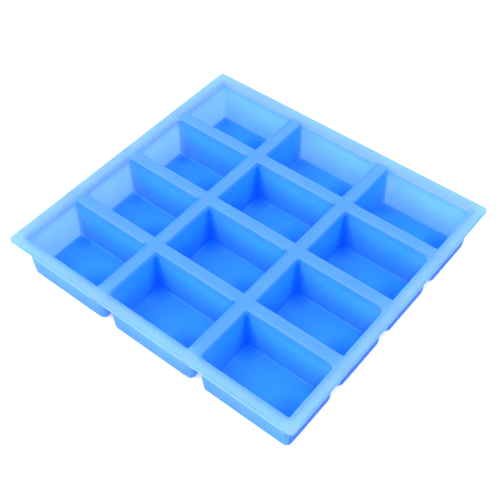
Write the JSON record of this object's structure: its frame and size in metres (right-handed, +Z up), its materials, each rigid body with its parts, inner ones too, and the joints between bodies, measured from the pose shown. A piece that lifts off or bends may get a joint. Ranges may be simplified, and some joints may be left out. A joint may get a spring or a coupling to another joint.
{
  "type": "silicone soap mould",
  "caption": "Flexible silicone tray of open rectangular cavities for casting soap bars, with a flat rim and ribs; it bends between rows and its floors push up to release the bars.",
  "frame": {"origin": "centre of the tray, on the plane its cups stand on", "axes": "+Z up out of the cavities, +X along the long side of each cavity (three columns), +Y across the four rows"},
  "size_m": [0.282, 0.265, 0.043],
  "materials": {
    "silicone_deck": "satin translucent light blue silicone",
    "silicone_cup": "satin translucent blue silicone"
  },
  "bodies": {
    "row_1": {"deck_row_1": "silicone_deck", "cavity_wall_r1_c1": "silicone_cup", "cavity_wall_r1_c2": "silicone_cup", "cavity_wall_r1_c3": "silicone_cup"},
    "floor_r1_c1": {"cavity_floor_r1_c1": "silicone_cup"},
    "floor_r1_c2": {"cavity_floor_r1_c2": "silicone_cup"},
    "floor_r1_c3": {"cavity_floor_r1_c3": "silicone_cup"},
    "row_2": {"deck_row_2": "silicone_deck", "cavity_wall_r2_c1": "silicone_cup", "cavity_wall_r2_c2": "silicone_cup", "cavity_wall_r2_c3": "silicone_cup"},
    "floor_r2_c1": {"cavity_floor_r2_c1": "silicone_cup"},
    "floor_r2_c2": {"cavity_floor_r2_c2": "silicone_cup"},
    "floor_r2_c3": {"cavity_floor_r2_c3": "silicone_cup"},
    "row_3": {"deck_row_3": "silicone_deck", "cavity_wall_r3_c1": "silicone_cup", "cavity_wall_r3_c2": "silicone_cup", "cavity_wall_r3_c3": "silicone_cup"},
    "floor_r3_c1": {"cavity_floor_r3_c1": "silicone_cup"},
    "floor_r3_c2": {"cavity_floor_r3_c2": "silicone_cup"},
    "floor_r3_c3": {"cavity_floor_r3_c3": "silicone_cup"},
    "row_4": {"deck_row_4": "silicone_deck", "cavity_wall_r4_c1": "silicone_cup", "cavity_wall_r4_c2": "silicone_cup", "cavity_wall_r4_c3": "silicone_cup"},
    "floor_r4_c1": {"cavity_floor_r4_c1": "silicone_cup"},
    "floor_r4_c2": {"cavity_floor_r4_c2": "silicone_cup"},
    "floor_r4_c3": {"cavity_floor_r4_c3": "silicone_cup"}
  },
  "joints": [
    {"name": "push_floor_r1_c1", "type": "slide", "parent": "row_1", "child": "floor_r1_c1", "axis": [0, 0, 1], "range_m": [0, 0.012], "stiffness_N_per_m": 1200},
    {"name": "push_floor_r1_c2", "type": "slide", "parent": "row_1", "child": "floor_r1_c2", "axis": [0, 0, 1], "range_m": [0, 0.012], "stiffness_N_per_m": 1200},
    {"name": "push_floor_r1_c3", "type": "slide", "parent": "row_1", "child": "floor_r1_c3", "axis": [0, 0, 1], "range_m": [0, 0.012], "stiffness_N_per_m": 1200},
    {"name": "push_floor_r2_c1", "type": "slide", "parent": "row_2", "child": "floor_r2_c1", "axis": [0, 0, 1], "range_m": [0, 0.012], "stiffness_N_per_m": 1200},
    {"name": "push_floor_r2_c2", "type": "slide", "parent": "row_2", "child": "floor_r2_c2", "axis": [0, 0, 1], "range_m": [0, 0.012], "stiffness_N_per_m": 1200},
    {"name": "push_floor_r2_c3", "type": "slide", "parent": "row_2", "child": "floor_r2_c3", "axis": [0, 0, 1], "range_m": [0, 0.012], "stiffness_N_per_m": 1200},
    {"name": "push_floor_r3_c1", "type": "slide", "parent": "row_3", "child": "floor_r3_c1", "axis": [0, 0, 1], "range_m": [0, 0.012], "stiffness_N_per_m": 1200},
    {"name": "push_floor_r3_c2", "type": "slide", "parent": "row_3", "child": "floor_r3_c2", "axis": [0, 0, 1], "range_m": [0, 0.012], "stiffness_N_per_m": 1200},
    {"name": "push_floor_r3_c3", "type": "slide", "parent": "row_3", "child": "floor_r3_c3", "axis": [0, 0, 1], "range_m": [0, 0.012], "stiffness_N_per_m": 1200},
    {"name": "push_floor_r4_c1", "type": "slide", "parent": "row_4", "child": "floor_r4_c1", "axis": [0, 0, 1], "range_m": [0, 0.012], "stiffness_N_per_m": 1200},
    {"name": "push_floor_r4_c2", "type": "slide", "parent": "row_4", "child": "floor_r4_c2", "axis": [0, 0, 1], "range_m": [0, 0.012], "stiffness_N_per_m": 1200},
    {"name": "push_floor_r4_c3", "type": "slide", "parent": "row_4", "child": "floor_r4_c3", "axis": [0, 0, 1], "range_m": [0, 0.012], "stiffness_N_per_m": 1200},
    {"name": "bend_row_1_to_row_2", "type": "hinge", "parent": "row_2", "child": "row_1", "pos_m": [0, -0.064, 0.0415], "axis": [-1, 0, 0], "range_deg": [-14, 30], "stiffness_Nm_per_rad": 0.3},
    {"name": "bend_row_3_to_row_2", "type": "hinge", "parent": "row_2", "child": "row_3", "pos_m": [0, 0, 0.0415], "axis": [1, 0, 0], "range_deg": [-14, 30], "stiffness_Nm_per_rad": 0.3},
    {"name": "bend_row_4_to_row_3", "type": "hinge", "parent": "row_3", "child": "row_4", "pos_m": [0, 0.064, 0.0415], "axis": [1, 0, 0], "range_deg": [-14, 30], "stiffness_Nm_per_rad": 0.3}
  ]
}
